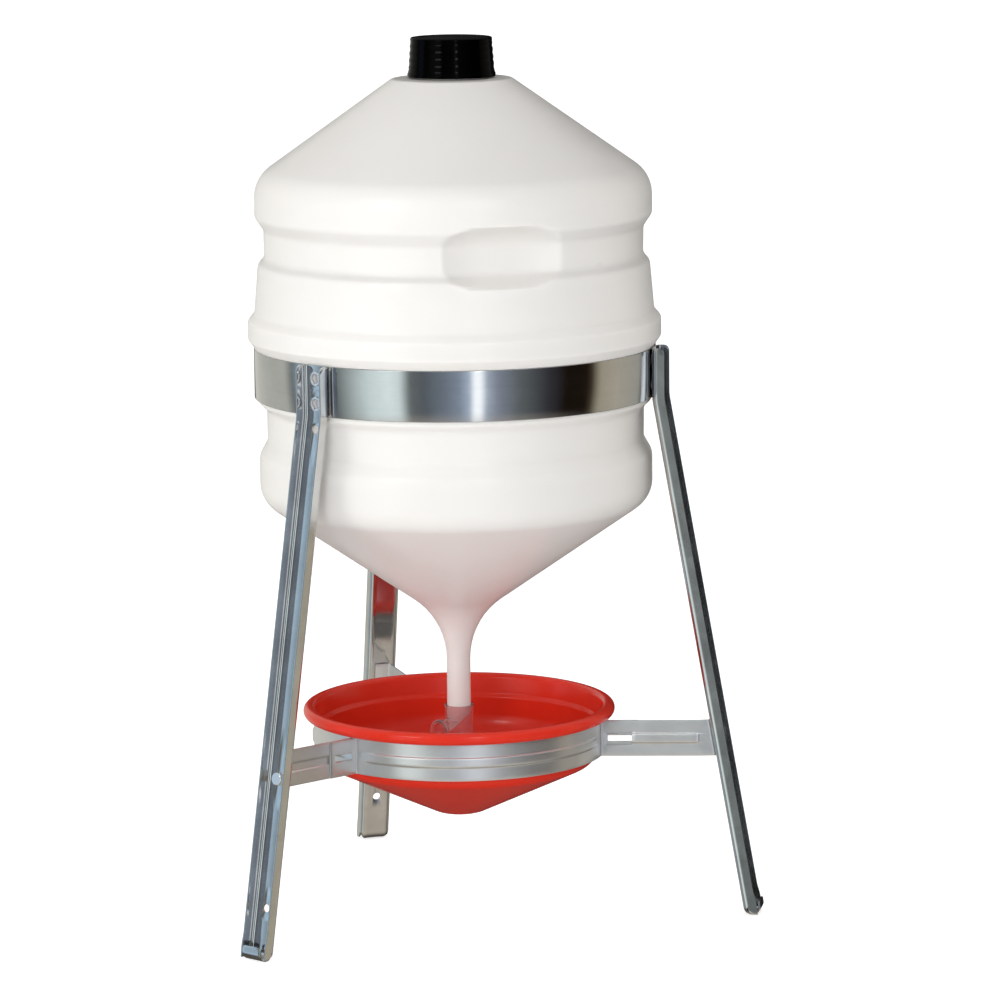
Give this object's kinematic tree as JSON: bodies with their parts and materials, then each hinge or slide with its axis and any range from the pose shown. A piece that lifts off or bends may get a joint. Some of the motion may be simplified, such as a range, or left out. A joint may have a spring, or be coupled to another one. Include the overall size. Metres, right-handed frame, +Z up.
{
  "type": "poultry waterer fount",
  "caption": "Free-standing gravity waterer for poultry: a capped translucent drum in a steel stand feeds a red bowl held in a ring below it.",
  "frame": {"origin": "on the ground at the middle of the plan's bounding box; the drum's vertical axis stands at x = 0, y = -0.0433 m", "axes": "+Z up along the drum's axis, -Y towards the side with a finger grip between the two front legs, +Y towards the back leg"},
  "size_m": [0.4642, 0.4363, 0.744],
  "materials": {
    "natural_plastic": "satin translucent natural polyethylene",
    "black_plastic": "gloss",
    "liner_foam": "soft foam",
    "clear_plastic": "clear plastic",
    "red_plastic": "gloss",
    "band_steel": "polished",
    "leg_steel": "satin galvanised",
    "ring_steel": "satin",
    "zinc_plate": "zinc plated"
  },
  "bodies": {
    "stand": {"support_band": "band_steel", "leg_right": "leg_steel", "eyelet_upper_right": "zinc_plate", "eyelet_lower_right": "zinc_plate", "arm_bolt_right": "zinc_plate", "arm_nut_right": "zinc_plate", "leg_back": "leg_steel", "eyelet_upper_back": "zinc_plate", "eyelet_lower_back": "zinc_plate", "arm_bolt_back": "zinc_plate", "arm_nut_back": "zinc_plate", "leg_left": "leg_steel", "eyelet_upper_left": "zinc_plate", "eyelet_lower_left": "zinc_plate", "arm_bolt_left": "zinc_plate", "arm_nut_left": "zinc_plate", "ring_strip_front": "ring_steel", "ring_strip_right": "ring_steel", "ring_strip_left": "ring_steel"},
    "vessel": {"tank": "natural_plastic"},
    "liner": {"cap_liner": "liner_foam"},
    "cap": {"screw_cap": "black_plastic"},
    "outlet": {"outlet_valve": "clear_plastic"},
    "drinking_bowl": {"bowl": "red_plastic"}
  },
  "joints": [
    {"name": "vessel_lift", "type": "slide", "parent": "stand", "child": "vessel", "axis": [0, 0, 1], "range_m": [0, 0.35]},
    {"name": "cap_rise", "type": "slide", "parent": "vessel", "child": "liner", "axis": [0, 0, 1], "range_m": [0, 0.0286]},
    {"name": "cap_turn", "type": "hinge", "parent": "liner", "child": "cap", "pos_m": [0, -0.04333, 0.73], "axis": [0, 0, 1], "range_deg": [0, 1710]},
    {"name": "outlet_turn", "type": "hinge", "parent": "vessel", "child": "outlet", "pos_m": [0, -0.04333, 0.154], "axis": [0, 0, 1], "range_deg": [0, 180]},
    {"name": "bowl_lift", "type": "slide", "parent": "stand", "child": "drinking_bowl", "axis": [0, 0, 1], "range_m": [0, 0.04]}
  ],
  "couplings": [
    {"joint": "cap_rise", "follows": "cap_turn", "m_per_rad": 0.00095493}
  ]
}
